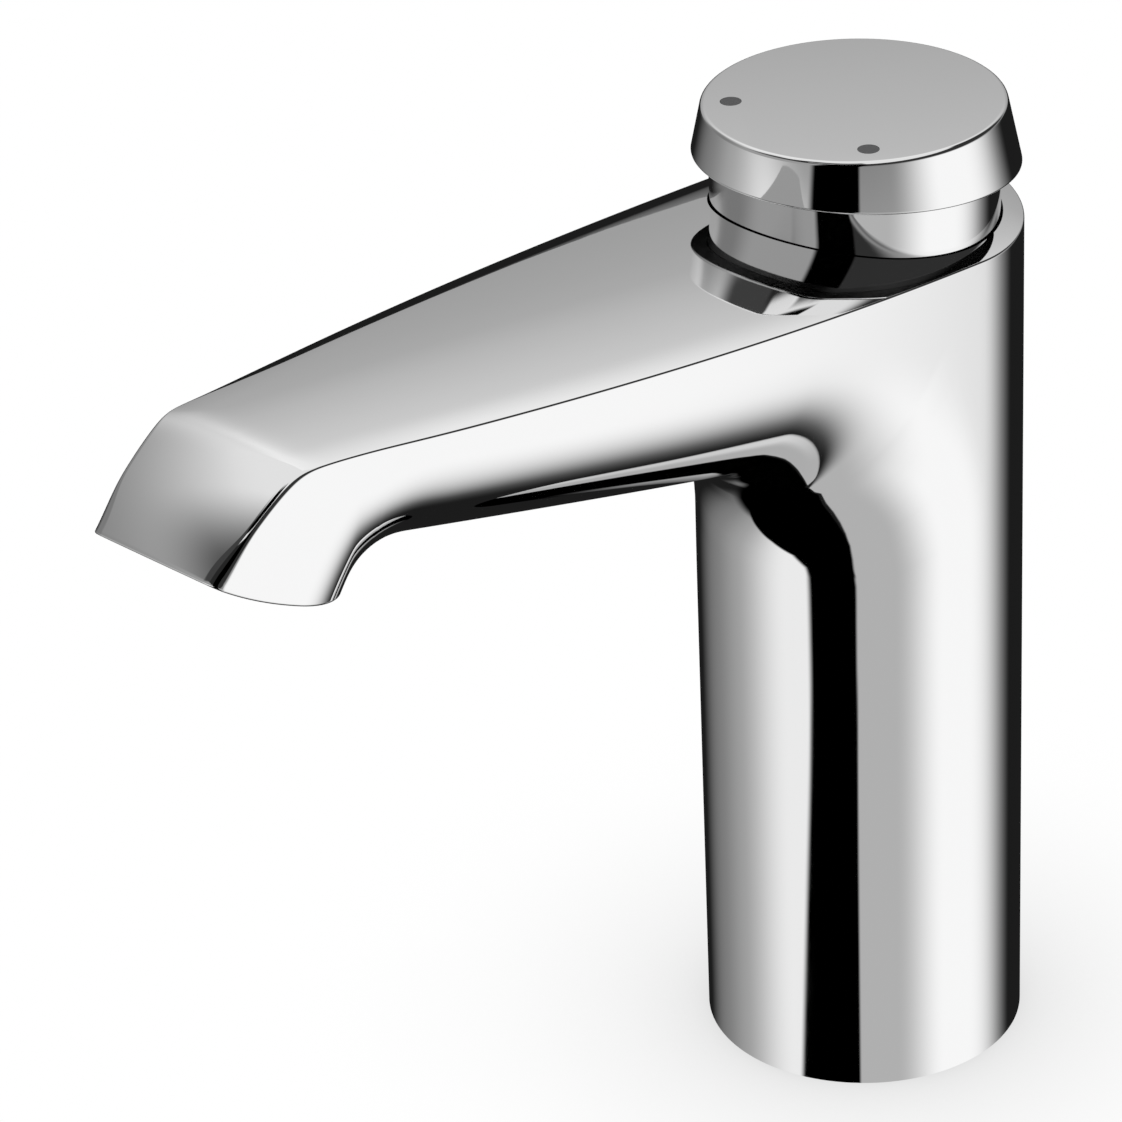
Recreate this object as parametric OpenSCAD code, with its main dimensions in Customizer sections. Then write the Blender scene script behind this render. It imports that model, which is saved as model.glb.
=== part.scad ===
// Push timed basin tap: a cast column with a tapering spout, a push button on top that also turns
// to set the temperature, and a self-closing mixing cartridge inside the column.
// Origin at the middle of the base on the basin's deck, Z up, spout towards -Y.

/* [Column] */
// Diameter of the column
column_d = 48; // [44:0.5:54]
// Wall round the inlet base at the foot
foot_wall = 4.5; // [3.5:0.1:5.5]
// Width of the shoulder that the inlet base stops against
shoulder_w = 1; // [0.6:0.1:1.5]
// Height of that shoulder
foot_bore_h = 56; // [50:1:64]
// Length of the cartridge from that shoulder to the seat of its flange
cartridge_len = 62; // [60:0.5:70]
// Depth of the button's well, from the top face to the flange's seat
button_well = 18.1; // [16.5:0.1:22]

/* [Top face] */
// Rise of the top face towards the nose, in degrees
top_tilt = 4.75; // [3:0.25:6]
// Radius of the crown across the top face
crown_r = 110; // [90:5:200]
// Wall of the body round the button's well
well_wall = 3; // [2.4:0.1:4]
// Gap between the button's skirt and the well
skirt_gap = 0.3; // [0.2:0.05:0.5]

/* [Spout] */
// Reach of the front lip from the column's axis, measured at the crown
lip_reach = 134.5; // [120:0.5:150]
// Drop of the front lip below the top face at the axis
lip_drop = 1.2; // [0:0.1:3]
// Slope of the front face, in degrees
front_slope = 37.2; // [32:0.2:42]
// Distance from the lip at which the narrowing of the plan eases off
taper_back = 22.5; // [18:0.5:30]
// Half width of the spout there
taper_half_w = 13.55; // [12.5:0.05:15]
// Half width of the nose at the front lip
nose_half_w = 11.4; // [10.5:0.1:12]
// Radius of the hollow between column and spout
hollow_r = 20; // [14:1:24]
// Depth of the spout 50 mm in front of the axis, below the top face at the axis
spout_depth = 25.2; // [24:0.1:28]
// Rise of the underside towards the nose, in degrees
under_rise = 14.9; // [14:0.1:16]
// Distance from the lip at which the underside turns down to the mouth
turn_back = 34.5; // [32:0.5:38]
// Radius of that turn
turn_r = 9; // [6:0.5:12]
// Distance of the mouth's middle from the lip
mouth_back = 11; // [10:0.1:12]
// Drop of the mouth's middle below the top face at the axis
mouth_drop = 8.8; // [8:0.1:10]
// Lean of the water jet from the vertical, in degrees
jet_lean = 26; // [20:1:30]
// Radius of the mouth's lower edge, seen from the side
mouth_r = 64; // [50:1:90]
// Diameter of the water way through the spout
water_way_d = 9; // [6:0.5:10]

/* [Button] */
// Height of the button's foot above the top face at the axis
foot_gap = 2.7; // [2.5:0.1:4]
// Height of the undercut from the foot to the widest edge
undercut_h = 3.8; // [3:0.1:5]
// Height of the side from the widest edge to the flat top
side_h = 8.5; // [7:0.1:12]
// Distance of the widest edge inside the column's outline
edge_inset = 0.55; // [0.3:0.05:1.5]
// Inward lean of the side from the widest edge to the flat top
side_lean = 1.8; // [0.5:0.1:3]
// Wall of the skirt under the button
skirt_wall = 2; // [1.2:0.1:2.5]
// Travel of the button
push_travel = 1.7; // [1:0.1:1.9]
// Diameter of the two temperature markers
marker_d = 3; // [2:0.1:4]
// Distance of the markers' middles from the edge of the flat top
marker_inset = 4.35; // [3:0.05:6]
// Angle of each marker from the spout's direction
marker_angle = 47.8; // [30:0.1:60]

/* [Cartridge] */
// Gap between the cartridge and its bore
sleeve_gap = 0.3; // [0.2:0.05:0.5]
// Wall of the cartridge sleeve
sleeve_wall = 4.9; // [4:0.1:5.5]
// Width of the ledge in the sleeve that the timing cup stands on
ledge_w = 1.1; // [0.8:0.1:1.6]
// Thickness of each ceramic disc
disc_t = 4; // [3:0.1:5]
// Diameter of the water ports
port_d = 6; // [4:0.1:6.4]
// Land between the ports and the edge of the discs
port_land = 1.2; // [0.8:0.1:1.8]
// Diameter of the spindle through its guide
spindle_d = 8; // [7:0.1:9]
// Diameter of the spindle through the valve
stem_d = 6; // [5:0.1:6.4]
// Side of the spindle's square end
square_w = 6; // [5:0.1:6.4]
// Width of the ring round the timing cylinder, wall and water space together
cup_ring_w = 3.8; // [3.4:0.1:4.4]
// Wire of the return spring
spring_wire_d = 1.6; // [1:0.1:2]
// Mean diameter of the return spring
spring_d = 20; // [17:0.5:24]
// Turns of the return spring
spring_turns = 6; // [4:1:8]

/* [Connections] */
// Core diameter of each hose thread, M10 x 1
hose_core_d = 8.92; // [7:0.01:9.2]
// Depth of each hose thread
hose_depth = 10; // [8:0.5:12]
// Core diameter of the fixing stud's thread, M8
stud_core_d = 6.65; // [5:0.01:7]
// Depth of the stud's thread
stud_depth = 12; // [8:0.5:13]
// Distance of the stud from the wall of the hose well
stud_inset = 5.5; // [4.5:0.1:6]
// Wall of the inlet base round the hose well
inlet_wall = 4.5; // [3:0.1:5]
// Thickness of the inlet base's deck
inlet_deck_t = 16; // [14.5:0.5:20]
// Outer diameter of the aerator, M16.5 x 1
aerator_d = 16.4; // [14:0.1:16.6]
// Depth of the aerator's seat in the mouth
aerator_seat = 8; // [7:0.1:8.5]

/* [Hidden] */

$fn = 64;
// Clearance between pieces that are pushed or screwed together
fit = 0.05;
// Clearance between pieces that move past each other
run = 0.1;
// Film of water between the ceramic discs
film = 0.05;

column_r = column_d / 2;
foot_bore_d = column_d - 2 * foot_wall;
main_bore_d = foot_bore_d - 2 * shoulder_w;
flange_seat_h = foot_bore_h + cartridge_len;
top_h = flange_seat_h + button_well;
top_slope = tan(top_tilt);
skirt_bore_r = column_r - well_wall;
skirt_r = skirt_bore_r - skirt_gap;
skirt_d = 2 * skirt_r;
lip_h = top_h - lip_drop;
taper_len = lip_reach - taper_back;
under_h = top_h - spout_depth;
turn_reach = lip_reach - turn_back;
mouth_reach = lip_reach - mouth_back;
mouth_h = top_h - mouth_drop;
button_foot_h = top_h + foot_gap;
button_edge_h = button_foot_h + undercut_h;
button_h = button_edge_h + side_h;
button_d = column_d - 2 * edge_inset;
button_top_d = button_d - 2 * side_lean;
marker_reach = button_top_d / 2 - marker_inset;
sleeve_d = main_bore_d - 2 * sleeve_gap;
sleeve_bore_d = sleeve_d - 2 * sleeve_wall;
disc_d = sleeve_bore_d - 2 * ledge_w;
port_reach = (disc_d - port_d) / 2 - port_land;
timing_bore_d = sleeve_bore_d - 2 * cup_ring_w;
hose_well_d = foot_bore_d - 2 * inlet_wall;
stud_reach = hose_well_d / 2 - stud_inset;
// Level above every top face, to which the loft runs before it is trimmed
trim_h = top_h + 18;

// Plan outline

function taper_curve(y) = column_r - (column_r - taper_half_w) * pow(y / taper_len, 2);
taper_end_slope = 2 * (column_r - taper_half_w) / taper_len;
ease_len = 12;
nose_slope = (taper_half_w - nose_half_w - taper_end_slope * ease_len / 2)
    / (lip_reach - taper_len - ease_len / 2);
function eased(s) = s < ease_len
    ? taper_half_w - taper_end_slope * s + (taper_end_slope - nose_slope) * s * s / (2 * ease_len)
    : taper_half_w - taper_end_slope * ease_len / 2 - nose_slope * (s - ease_len / 2);
// Half width of the body at y, in front of the axis
function half_width(y) = -y < taper_len ? taper_curve(y) : eased(-y - taper_len);
// Height of the top face at x and y, back from the nose
function top_face(x, y) = top_h - top_slope * y - x * x / (2 * crown_r);

// Inner profile from the foot of the column round to the nose, as [y, z]

under_slope = tan(under_rise);
under_at = 50;
function under_line(y) = under_h - under_slope * (y + under_at);
hollow_y = -column_r - hollow_r;
hollow_z = under_line(hollow_y) - hollow_r / cos(under_rise);
hollow_steps = 8;
under_steps = 6;
turn_steps = 5;
turn_end = 150;
turn_y = -turn_reach - turn_r * sin(under_rise);
turn_z = under_line(-turn_reach) - turn_r * cos(under_rise);
turn_last = [turn_y + turn_r * cos(turn_end), turn_z + turn_r * sin(turn_end)];
nose_end = -lip_reach - 6;
drop_slope = tan(62);
hollow_pts = [for (i = [1:hollow_steps])
    let (a = (90 - under_rise) * i / hollow_steps)
    [hollow_y + hollow_r * cos(a), hollow_z + hollow_r * sin(a)]];
under_first = hollow_pts[hollow_steps - 1][0];
under_pts = [for (i = [1:under_steps])
    let (y = under_first + (-turn_reach - under_first) * i / under_steps)
    [y, under_line(y)]];
turn_pts = [for (i = [1:turn_steps])
    let (a = 90 - under_rise + (turn_end - 90 + under_rise) * i / turn_steps)
    [turn_y + turn_r * cos(a), turn_z + turn_r * sin(a)]];
drop_pts = [for (i = [1:3])
    let (y = turn_last[0] + (nose_end - turn_last[0]) * i / 3)
    [y, turn_last[1] - drop_slope * (turn_last[0] - y)]];

// Each station is [inner y, inner z, outer y, outer z, depth of the rounding]

tilt_steps = 5;
tilt_from = hollow_z - 26;
function ring_depth(s) = norm([s[2] - s[0], s[3] - s[1]]);
// Depth at which a section's side has become the plan outline, just under the top face
function full_depth(y, z) = 0.96 * (top_face(half_width(y), y) - z);
tilt_full = full_depth(0, hollow_z) / (trim_h - hollow_z);
column_stations = [for (z = [-2, tilt_from]) [-column_r, z, 0, z, column_r]];
tilt_stations = [for (i = [1:tilt_steps])
    let (t = i / tilt_steps,
         z = tilt_from + (hollow_z - tilt_from) * t,
         k = tilt_from + (trim_h - tilt_from) * t,
         d = norm([column_r, k - z]))
    [-column_r, z, 0, k, d * (1 - t * t * (1 - tilt_full))]];
fan_stations = [for (i = [1:hollow_steps])
    let (p = hollow_pts[i - 1],
         y = under_first * i / hollow_steps,
         d = norm([y - p[0], trim_h - p[1]]))
    [p[0], p[1], y, trim_h, full_depth(y, p[1]) * d / (trim_h - p[1])]];
nose_stations = [for (p = concat(under_pts, turn_pts, drop_pts))
    [p[0], p[1], p[0], trim_h, full_depth(max(p[0], -taper_len), p[1])]];
stations = concat(column_stations, tilt_stations, fan_stations, nose_stations);
flat_from = len(column_stations) + tilt_steps;

// One section of the body: right half from the inner profile to the back, then the left half

round_steps = 10;
back_steps = 6;
function side_point(s, a) =
    let (d = s[4] * (1 - cos(a)), f = d / ring_depth(s), y = s[0] + (s[2] - s[0]) * f)
    [half_width(min(y, 0)) * sin(a), y, s[1] + (s[3] - s[1]) * f];
function side_points(s) = [for (i = [0:round_steps]) side_point(s, 90 * i / round_steps)];
function arc_points(z) = [for (i = [1:back_steps])
    let (a = 90 * i / back_steps) [column_r * cos(a), column_r * sin(a), z]];
function chord_points(s) = [for (i = [0:back_steps - 1])
    [half_width(s[2]) * (1 - i / (back_steps - 1)), s[2], s[3]]];
function half_section(i) = concat(
    side_points(stations[i]),
    i < flat_from ? arc_points(stations[i][3]) : chord_points(stations[i]));
half_count = round_steps + 1 + back_steps;
ring_count = 2 * half_count - 2;
function section(i) = let (h = half_section(i)) concat(
    h, [for (j = [half_count - 2:-1:1]) [-h[j][0], h[j][1], h[j][2]]]);
loft_points = [for (i = [0:len(stations) - 1]) each section(i)];
function at(i, j) = i * ring_count + j % ring_count;
loft_faces = concat(
    [[for (j = [0:ring_count - 1]) at(0, j)]],
    [for (i = [0:len(stations) - 2], j = [0:ring_count - 1])
        each [[at(i, j), at(i + 1, j), at(i + 1, j + 1)], [at(i, j), at(i + 1, j + 1), at(i, j + 1)]]],
    [[for (j = [ring_count - 1:-1:0]) at(len(stations) - 1, j)]]);

module loft() {
    polyhedron(points = loft_points, faces = loft_faces, convexity = 6);
}

// Round bar of the crown's radius whose upper side runs through a point of the middle plane
module crown_bar(y, z, slope) {
    bar_len = 700;
    translate([0, y, z])
        rotate([slope, 0, 0])
            translate([0, bar_len / 2, -crown_r])
                rotate([90, 0, 0]) cylinder(r = crown_r, h = bar_len, $fn = 128);
}

// Frame at the middle of the mouth, with Z up the water jet's axis
module at_mouth() {
    translate([0, -mouth_reach, mouth_h]) rotate([-jet_lean, 0, 0]) children();
}

module mouth_cut() {
    difference() {
        translate([-30, -lip_reach - 30, 60]) cube([60, lip_reach - turn_reach + 26, 110]);
        at_mouth() translate([-40, 0, mouth_r])
            rotate([0, 90, 0]) cylinder(r = mouth_r, h = 80, $fn = 128);
    }
}

// Straight hole between two points of the middle plane
module water_way(y0, z0, y1, z1) {
    run_len = norm([y1 - y0, z1 - z0]);
    translate([0, y0, z0]) rotate([90 - atan2(z1 - z0, y0 - y1), 0, 0])
        cylinder(d = water_way_d, h = run_len);
}

module ring(outer_d, inner_d, z0, z1) {
    translate([0, 0, z0]) difference() {
        cylinder(d = outer_d, h = z1 - z0);
        translate([0, 0, -1]) cylinder(d = inner_d, h = z1 - z0 + 2);
    }
}

module o_ring(mean_d, wire_d, z) {
    translate([0, 0, z]) rotate_extrude() translate([mean_d / 2, 0]) circle(d = wire_d, $fn = 24);
}

// Heights of the cartridge's stack, from the inlet base upwards

base_t = 10;
base_z = foot_bore_h;
sleeve_z = base_z + base_t;
fixed_disc_z = sleeve_z - disc_t;
mixing_disc_z = sleeve_z + film;
driver_z = mixing_disc_z + disc_t;
driver_t = 8;
cup_z = driver_z + driver_t + 1;
cup_floor_t = 2;
cup_wall_h = 11;
cup_rib_h = 19;
seat_z = cup_z + cup_floor_t + cup_rib_h;
seat_t = 3;
flange_t = 2;
nut_z = flange_seat_h + flange_t;
nut_t = 4;
washer_t = 1;
spring_z = nut_z + nut_t + washer_t;
guide_t = 6;
guide_z = nut_z - guide_t;
flange_d = 2 * skirt_bore_r - 0.8;
nut_d = 2 * skirt_bore_r - 0.4;
cup_d = sleeve_bore_d - 2 * fit;
driver_bore_d = disc_d + 0.3;
skirt_foot_z = nut_z + nut_t + push_travel + 1;
skirt_top_z = button_edge_h - 1.6;
cap_roof_t = 4;
cap_roof_z = button_h - cap_roof_t;
boss_d = 12;
spindle_thread_d = 6.5;
spindle_thread_l = 7.5;
boss_z = cap_roof_z - spindle_thread_l - 0.5;
socket_z = driver_z + 0.6;
square_z = socket_z + push_travel + 0.4;
stem_z = cup_z + 3;
neck_z = seat_z + seat_t + 1;
piston_t = 5;
piston_z = cup_z + cup_floor_t + push_travel + 1;
valve_gap = 0.1;
washer_rubber_t = 2.9;
valve_washer_z = seat_z - valve_gap - washer_rubber_t;
holder_t = 3;
holder_z = valve_washer_z - holder_t;
valve_nut_t = 3;
outlet_z = (neck_z + guide_z) / 2;
seal_d = 1.7;

brass = "#c8a45a";
chrome = "#d8dadd";
ceramic = "#e9e6df";
rubber = "#2b2b2d";
acetal = "#e8e8e4";
steel = "#b9bdc2";

module body_casting() {
    color(chrome) difference() {
        intersection() {
            loft();
            crown_bar(0, top_h, -top_tilt);
            crown_bar(-lip_reach, lip_h, front_slope);
        }
        mouth_cut();
        // The foot is faced off flat
        translate([0, 0, -10]) cylinder(r = column_r + 10, h = 10);
        translate([0, 0, -1]) cylinder(d = foot_bore_d, h = foot_bore_h + 1);
        cylinder(d = main_bore_d, h = top_h);
        translate([0, 0, flange_seat_h]) cylinder(r = skirt_bore_r, h = 60);
        ring(gasket_d + 2 * fit, gasket_bore_d - 2 * fit, -1, gasket_t);
        water_way(-main_bore_d / 4, outlet_z - 1, -mouth_reach + 4, mouth_h + aerator_seat);
        at_mouth() translate([0, 0, -20]) cylinder(d = aerator_d + 2 * fit, h = 20 + aerator_seat);
    }
}

gasket_d = (foot_bore_d + 3 * column_d) / 4;
gasket_bore_d = (3 * foot_bore_d + column_d) / 4;
gasket_t = 1.5;

module base_gasket() {
    color(rubber) ring(gasket_d, gasket_bore_d, 0, gasket_t);
}

module at_ports() {
    for (side = [-1, 1]) translate([side * port_reach, 0, 0]) children();
}

inlet_z = 1;
inlet_deck_z = foot_bore_h - inlet_deck_t;

module inlet_base() {
    color(brass) difference() {
        translate([0, 0, inlet_z]) cylinder(d = foot_bore_d - 2 * fit, h = foot_bore_h - inlet_z);
        translate([0, 0, 0]) cylinder(d = hose_well_d, h = inlet_deck_z);
        at_ports() translate([0, 0, inlet_deck_z - 1]) cylinder(d = hose_core_d, h = hose_depth + 1);
        at_ports() translate([0, 0, inlet_deck_z]) cylinder(d = port_d, h = inlet_deck_t + 1);
        translate([0, stud_reach, inlet_deck_z - 1]) cylinder(d = stud_core_d, h = stud_depth + 1);
    }
}

port_seal_t = 1.2;
port_seal_d = port_d + 3.6;

module port_seals() {
    color(rubber) at_ports() ring(port_seal_d, port_d + 0.4, base_z, base_z + port_seal_t);
}

module cartridge_base() {
    color(acetal) difference() {
        translate([0, 0, base_z]) cylinder(d = sleeve_d, h = base_t);
        translate([0, 0, fixed_disc_z]) cylinder(d = disc_d + 2 * fit, h = disc_t + 1);
        at_ports() translate([0, 0, base_z - 1]) cylinder(d = port_d, h = base_t);
        at_ports() translate([0, 0, base_z - 1]) cylinder(d = port_seal_d + 2 * fit, h = port_seal_t + 1);
        seal_groove(base_z + 3.5);
    }
}

// Groove for a seal round the cartridge
module seal_groove(z) {
    ring(sleeve_d + 2, sleeve_d - 2 * seal_d + 0.2, z - seal_d / 2 - 0.1, z + seal_d / 2 + 0.1);
}

module sleeve_seal(z) {
    o_ring(sleeve_d - seal_d + 0.25, seal_d, z);
}

module base_seal() {
    color(rubber) sleeve_seal(base_z + 3.5);
}

module fixed_disc() {
    color(ceramic) difference() {
        translate([0, 0, fixed_disc_z]) cylinder(d = disc_d, h = disc_t);
        at_ports() translate([0, 0, fixed_disc_z - 1]) cylinder(d = port_d, h = disc_t + 2);
    }
}

module mixing_disc() {
    color(ceramic) difference() {
        translate([0, 0, mixing_disc_z]) cylinder(d = disc_d, h = disc_t);
        translate([0, -port_reach, mixing_disc_z - 1]) cylinder(d = port_d, h = disc_t + 2);
    }
}

module disc_driver() {
    color(acetal) difference() {
        translate([0, 0, driver_z]) cylinder(d = disc_d, h = driver_t);
        translate([0, -port_reach, driver_z - 1]) cylinder(d = port_d, h = driver_t + 2);
        translate([-square_w / 2 - run, -square_w / 2 - run, socket_z])
            cube([square_w + 2 * run, square_w + 2 * run, driver_t + 1]);
    }
}

module cartridge_sleeve() {
    color(brass) difference() {
        union() {
            translate([0, 0, sleeve_z]) cylinder(d = sleeve_d, h = nut_z - sleeve_z);
            translate([0, 0, flange_seat_h]) cylinder(d = flange_d, h = flange_t);
        }
        translate([0, 0, sleeve_z - 1]) cylinder(d = driver_bore_d, h = nut_z);
        translate([0, 0, cup_z]) cylinder(d = sleeve_bore_d, h = nut_z);
        for (a = [0:60:300]) rotate([0, 0, a])
            translate([0, 0, outlet_z]) rotate([90, 0, 0]) cylinder(d = outlet_hole_d, h = sleeve_d);
        seal_groove(flange_seat_h - 2);
    }
}

outlet_hole_d = 6;

module flange_seal() {
    color(rubber) sleeve_seal(flange_seat_h - 2);
}

module timing_cup() {
    rib_w = 2;
    timing_wall = 1.5;
    color(acetal) difference() {
        union() {
            translate([0, 0, cup_z]) cylinder(d = cup_d, h = cup_floor_t);
            translate([0, 0, cup_z])
                cylinder(d = timing_bore_d + 2 * timing_wall, h = cup_floor_t + cup_wall_h);
            intersection() {
                translate([0, 0, cup_z]) cylinder(d = cup_d, h = cup_floor_t + cup_rib_h);
                for (a = [45, 135]) rotate([0, 0, a])
                    translate([-cup_d / 2, -rib_w / 2, cup_z]) cube([cup_d, rib_w, cup_floor_t + cup_rib_h]);
            }
        }
        translate([0, 0, cup_z + cup_floor_t]) cylinder(d = timing_bore_d, h = cup_rib_h + 1);
        translate([0, 0, cup_z - 1]) cylinder(d = square_w * sqrt(2) + 4 * run, h = cup_floor_t + 2);
        for (a = [0:90:270]) rotate([0, 0, a])
            translate([(timing_bore_d / 2 + timing_wall + cup_d / 2) / 2, 0, cup_z - 1])
                cylinder(d = (cup_d - timing_bore_d) / 2 - timing_wall - 0.8, h = cup_floor_t + 2);
    }
}

module valve_seat() {
    color(brass) ring(cup_d, stem_d + 7, seat_z, seat_z + seat_t);
}

module spindle_guide() {
    color(brass) difference() {
        ring(cup_d, spindle_d + 2 * run, guide_z, nut_z);
        ring(spindle_d + 2 * seal_d + 0.3, spindle_d, guide_z + 2, guide_z + 2 + seal_d + 0.3);
    }
}

module spindle_seal() {
    color(rubber) o_ring(spindle_d + seal_d + 2 * run, seal_d, guide_z + 2 + seal_d / 2 + 0.15);
}

module cartridge_nut() {
    color(brass) difference() {
        ring(nut_d, spindle_d + 6, nut_z, nut_z + nut_t);
        // Two slots for the fitting key
        translate([-nut_d / 2 - 1, -1.5, nut_z + nut_t - 2]) cube([nut_d + 2, 3, 3]);
    }
}

module thrust_washer() {
    color(steel) ring(spring_d + spring_wire_d + 2, spring_d - spring_wire_d - 2, nut_z + nut_t, spring_z);
}

// Return spring: one wire wound from the thrust washer up to the roof of the cap

spring_gap = 0.1;
spring_h = cap_roof_z - spring_z - 2 * spring_gap - spring_wire_d;
spring_foot_z = spring_z + spring_gap + spring_wire_d / 2;
spring_rings = 16;
spring_sides = 8;
function spring_at(i) =
    let (t = i / spring_rings, a = 360 * t)
    [spring_d / 2 * cos(a), spring_d / 2 * sin(a), spring_foot_z + spring_h * t / spring_turns];
spring_count = spring_turns * spring_rings;
function spring_ring(i) =
    let (c = spring_at(i), a = 360 * i / spring_rings)
    [for (k = [0:spring_sides - 1])
        let (b = 360 * k / spring_sides)
        c + spring_wire_d / 2 * [cos(b) * cos(a), cos(b) * sin(a), sin(b)]];
spring_points = [for (i = [0:spring_count]) each spring_ring(i)];
spring_faces = concat(
    [[for (k = [0:spring_sides - 1]) k]],
    [for (i = [0:spring_count - 1], k = [0:spring_sides - 1])
        let (a = i * spring_sides + k, b = i * spring_sides + (k + 1) % spring_sides)
        each [[a, b + spring_sides, b], [a, a + spring_sides, b + spring_sides]]],
    [[for (k = [spring_sides - 1:-1:0]) spring_count * spring_sides + k]]);

module return_spring() {
    color(steel) polyhedron(points = spring_points, faces = spring_faces, convexity = 8);
}

module spindle() {
    color(steel) {
        translate([-square_w / 2, -square_w / 2, square_z]) cube([square_w, square_w, stem_z - square_z]);
        translate([0, 0, stem_z]) cylinder(d = stem_d, h = neck_z - stem_z);
        translate([0, 0, neck_z]) cylinder(d = spindle_d, h = boss_z - neck_z);
        translate([0, 0, boss_z]) cylinder(d = spindle_thread_d, h = spindle_thread_l);
    }
}

piston_d = timing_bore_d - 2 * run;
piston_groove_d = piston_d - 2.6;
piston_groove_z = piston_z + 1.5;
piston_seal_t = 2;

module piston() {
    color(acetal) difference() {
        ring(piston_d, stem_d + 2 * fit, piston_z, piston_z + piston_t);
        ring(piston_d + 2, piston_groove_d, piston_groove_z, piston_groove_z + piston_seal_t);
    }
}

module piston_seal() {
    color(rubber) ring(piston_d, piston_groove_d + 2 * fit,
        piston_groove_z + fit, piston_groove_z + piston_seal_t - fit);
}

holder_d = timing_bore_d - 0.8;

module valve_holder() {
    color(brass) ring(holder_d, stem_d + 2 * fit, holder_z, holder_z + holder_t);
}

module valve_washer() {
    color(rubber) ring(holder_d, stem_d + 2 * fit, valve_washer_z, valve_washer_z + washer_rubber_t);
}

module valve_nut() {
    color(steel) difference() {
        translate([0, 0, holder_z - valve_nut_t]) cylinder(d = stem_d + 5, h = valve_nut_t, $fn = 6);
        translate([0, 0, holder_z - valve_nut_t - 1]) cylinder(d = stem_d + 2 * fit, h = valve_nut_t + 2);
    }
}

// Button

marker_t = 0.6;
edge_slope_r = side_lean / side_h;
// The undercut stops short of the skirt, so that the foot keeps a narrow flat
undercut_r = skirt_r + 0.6;
undercut_slope_r = (button_d / 2 - undercut_r) / undercut_h;
over = 8;

module cap_outside() {
    intersection() {
        // Flared side, wider towards the foot
        translate([0, 0, button_edge_h - over])
            cylinder(r1 = button_d / 2 + edge_slope_r * over, r2 = button_top_d / 2, h = side_h + over);
        // Undercut that leans with the top face
        rotate_about(button_foot_h) translate([0, 0, button_foot_h])
            cylinder(r1 = undercut_r, r2 = undercut_r + undercut_slope_r * 2 * over, h = 2 * over);
    }
}

// Leans its children with the top face, about the axis at height z
module rotate_about(z) {
    translate([0, 0, z]) rotate([-top_tilt, 0, 0]) translate([0, 0, -z]) children();
}

module at_marker(side) {
    rotate([0, 0, -90 + side * marker_angle]) translate([marker_reach, 0, 0]) children();
}

module push_cap() {
    skirt_bore_d = skirt_d - 2 * skirt_wall;
    color(chrome) difference() {
        cap_outside();
        translate([0, 0, button_foot_h - over])
            cylinder(d = skirt_d + 2 * fit, h = skirt_top_z - button_foot_h + over);
        difference() {
            translate([0, 0, button_foot_h - over])
                cylinder(d = skirt_bore_d, h = cap_roof_z - button_foot_h + over);
            translate([0, 0, boss_z]) cylinder(d = boss_d, h = cap_roof_z);
        }
        translate([0, 0, boss_z - 1]) cylinder(d = spindle_thread_d + 2 * fit, h = spindle_thread_l + 1.5);
        for (side = [-1, 1]) at_marker(side)
            translate([0, 0, button_h - marker_t]) cylinder(d = marker_d + 2 * fit, h = 1);
    }
}

module skirt() {
    color(chrome) ring(skirt_d, skirt_d - 2 * skirt_wall, skirt_foot_z, skirt_top_z);
}

module marker(side) {
    at_marker(side) translate([0, 0, button_h - marker_t]) cylinder(d = marker_d, h = marker_t);
}

module warm_marker() {
    color("#55555a") marker(-1);
}

module cool_marker() {
    color("#5a5a5f") marker(1);
}

// Aerator

aerator_wall = 1.3;
aerator_washer_t = 1;
aerator_z = 1;

module aerator_housing() {
    color(chrome) at_mouth()
        ring(aerator_d, aerator_d - 2 * aerator_wall, aerator_z, aerator_seat - aerator_washer_t);
}

module aerator_insert() {
    hole_d = 2.2;
    insert_d = aerator_d - 2 * aerator_wall - 2 * fit;
    color(acetal) at_mouth() difference() {
        translate([0, 0, aerator_z + 1])
            cylinder(d = insert_d, h = aerator_seat - aerator_washer_t - aerator_z - 1);
        translate([0, 0, aerator_z]) cylinder(d = hole_d, h = aerator_seat);
        for (a = [0:45:315]) rotate([0, 0, a])
            translate([insert_d / 2 - hole_d - 0.4, 0, aerator_z]) cylinder(d = hole_d, h = aerator_seat);
    }
}

module aerator_washer() {
    color(rubber) at_mouth()
        ring(aerator_d, aerator_d - 6, aerator_seat - aerator_washer_t, aerator_seat);
}

body_casting();
inlet_base();
base_gasket();
port_seals();
cartridge_base();
base_seal();
fixed_disc();
mixing_disc();
disc_driver();
cartridge_sleeve();
flange_seal();
timing_cup();
valve_seat();
spindle_guide();
spindle_seal();
cartridge_nut();
thrust_washer();
return_spring();
spindle();
piston();
piston_seal();
valve_holder();
valve_washer();
valve_nut();
push_cap();
skirt();
warm_marker();
cool_marker();
aerator_housing();
aerator_insert();
aerator_washer();
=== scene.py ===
import math

import bmesh
import bpy
from mathutils import Matrix, Vector


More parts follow.
